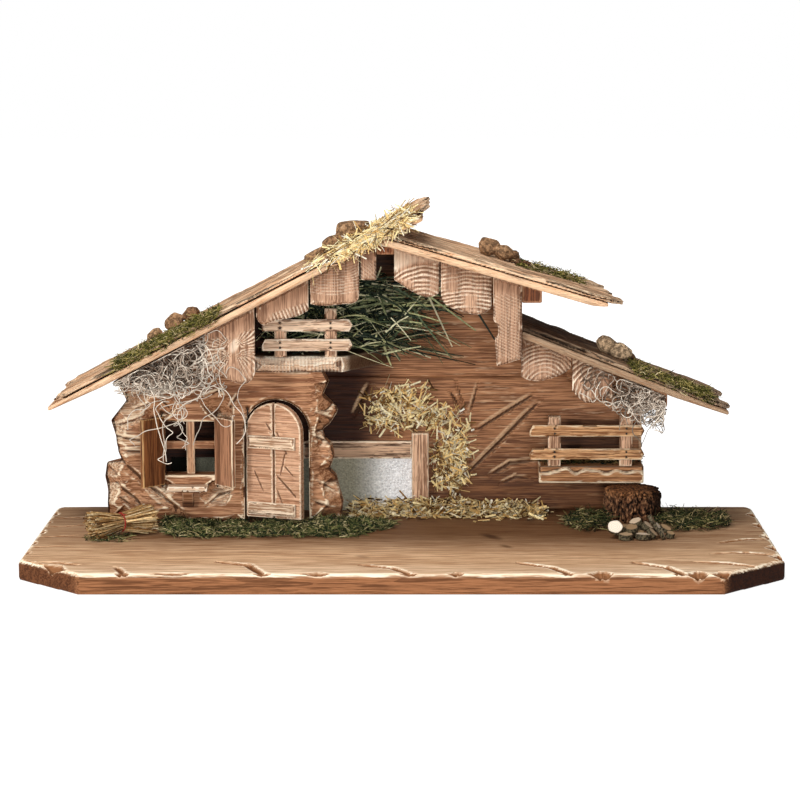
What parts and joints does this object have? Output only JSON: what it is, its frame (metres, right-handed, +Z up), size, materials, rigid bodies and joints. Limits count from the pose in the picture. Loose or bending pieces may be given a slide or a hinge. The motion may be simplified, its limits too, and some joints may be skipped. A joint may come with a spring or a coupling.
{
  "type": "nativity stable",
  "caption": "Wooden alpine nativity stable on a base board: carved house front with arched door and shutters, hay loft, balcony, split-plank roofs and an open bay for figures.",
  "frame": {"origin": "centre of the base board's underside", "axes": "+X to the viewer's right along the base board, +Y from the front edge to the back wall, +Z up"},
  "size_m": [0.7, 0.3, 0.3354],
  "materials": {
    "base_wood": "stained pine, brushed grain, chip-carved edges",
    "house_wood": "brown stain, carved, pale dry-brushed edges",
    "wall_wood": "dark brown stain, carved lines",
    "rail_wood": "warm stain, pale carved edges",
    "roof_wood": "raw split wood, weathered",
    "purlin_wood": "dark red-brown stain",
    "trim_wood": "light stain, gouge-carved",
    "plaster": "stippled white plaster",
    "wire": "plain wire",
    "bark": "rough bark",
    "slice_wood": "sawn branch slices with bark",
    "straw": "loose straw",
    "thread": "thread",
    "moss": "dried moss",
    "hay": "dried grass",
    "lichen": "dried lichen strands",
    "stone": "pebbles and bark lumps"
  },
  "bodies": {
    "stable": {"back_wall_lower": "wall_wood", "back_wall_upper": "wall_wood", "balcony_moss": "moss", "balcony_posts": "rail_wood", "balcony_rail_lower": "rail_wood", "balcony_rail_upper": "rail_wood", "balcony_shelf": "rail_wood", "base_board": "base_wood", "door_pivot_pins": "wire", "gable_trim_1": "trim_wood", "gable_trim_2": "trim_wood", "gable_trim_3": "trim_wood", "gable_trim_4": "trim_wood", "gable_trim_5": "trim_wood", "gable_trim_6": "trim_wood", "gable_trim_7": "trim_wood", "gable_trim_8": "trim_wood", "gable_trim_9": "trim_wood", "ground_moss": "moss", "house_front": "house_wood", "house_side_wall": "house_wood", "ledge_bracket": "house_wood", "left_roof_board": "roof_wood", "left_roof_planks": "roof_wood", "lichen_left": "lichen", "lichen_right": "lichen", "loft_floor": "wall_wood", "loft_hay": "hay", "loft_posts": "rail_wood", "loft_rail_lower": "rail_wood", "loft_rail_upper": "rail_wood", "log_slices": "slice_wood", "lower_purlin": "purlin_wood", "lower_roof_board": "roof_wood", "lower_roof_planks": "roof_wood", "plaster_panel": "plaster", "plaster_post": "wall_wood", "plaster_rail": "wall_wood", "rail_nails": "wire", "ridge_purlin": "purlin_wood", "roof_moss": "moss", "roof_stones": "stone", "sheaf_tie": "thread", "shutter_pintles": "wire", "straw_litter": "straw", "straw_sheaf": "straw", "stump": "bark", "upper_purlin": "purlin_wood", "upper_roof_board": "roof_wood", "upper_roof_planks": "roof_wood", "window_ledge": "house_wood", "window_mullion": "house_wood", "window_transom": "house_wood"},
    "door": {"door_plank_left": "house_wood", "door_plank_right": "house_wood", "door_batten_upper": "house_wood", "door_batten_lower": "house_wood"},
    "left_shutter": {"shutter_left": "house_wood"},
    "right_shutter": {"shutter_right": "house_wood"}
  },
  "joints": [
    {"name": "door_hinge", "type": "hinge", "parent": "stable", "child": "door", "pos_m": [-0.1512, 0.0715, 0.08], "axis": [0, 0, -1], "range_deg": [-20, 52]},
    {"name": "left_shutter_hinge", "type": "hinge", "parent": "stable", "child": "left_shutter", "pos_m": [-0.2343, 0.0671, 0.09], "axis": [0, 0, -1], "range_deg": [-133, 25]},
    {"name": "right_shutter_hinge", "type": "hinge", "parent": "stable", "child": "right_shutter", "pos_m": [-0.181, 0.0671, 0.09], "axis": [0, 0, 1], "range_deg": [-133, 25]}
  ]
}
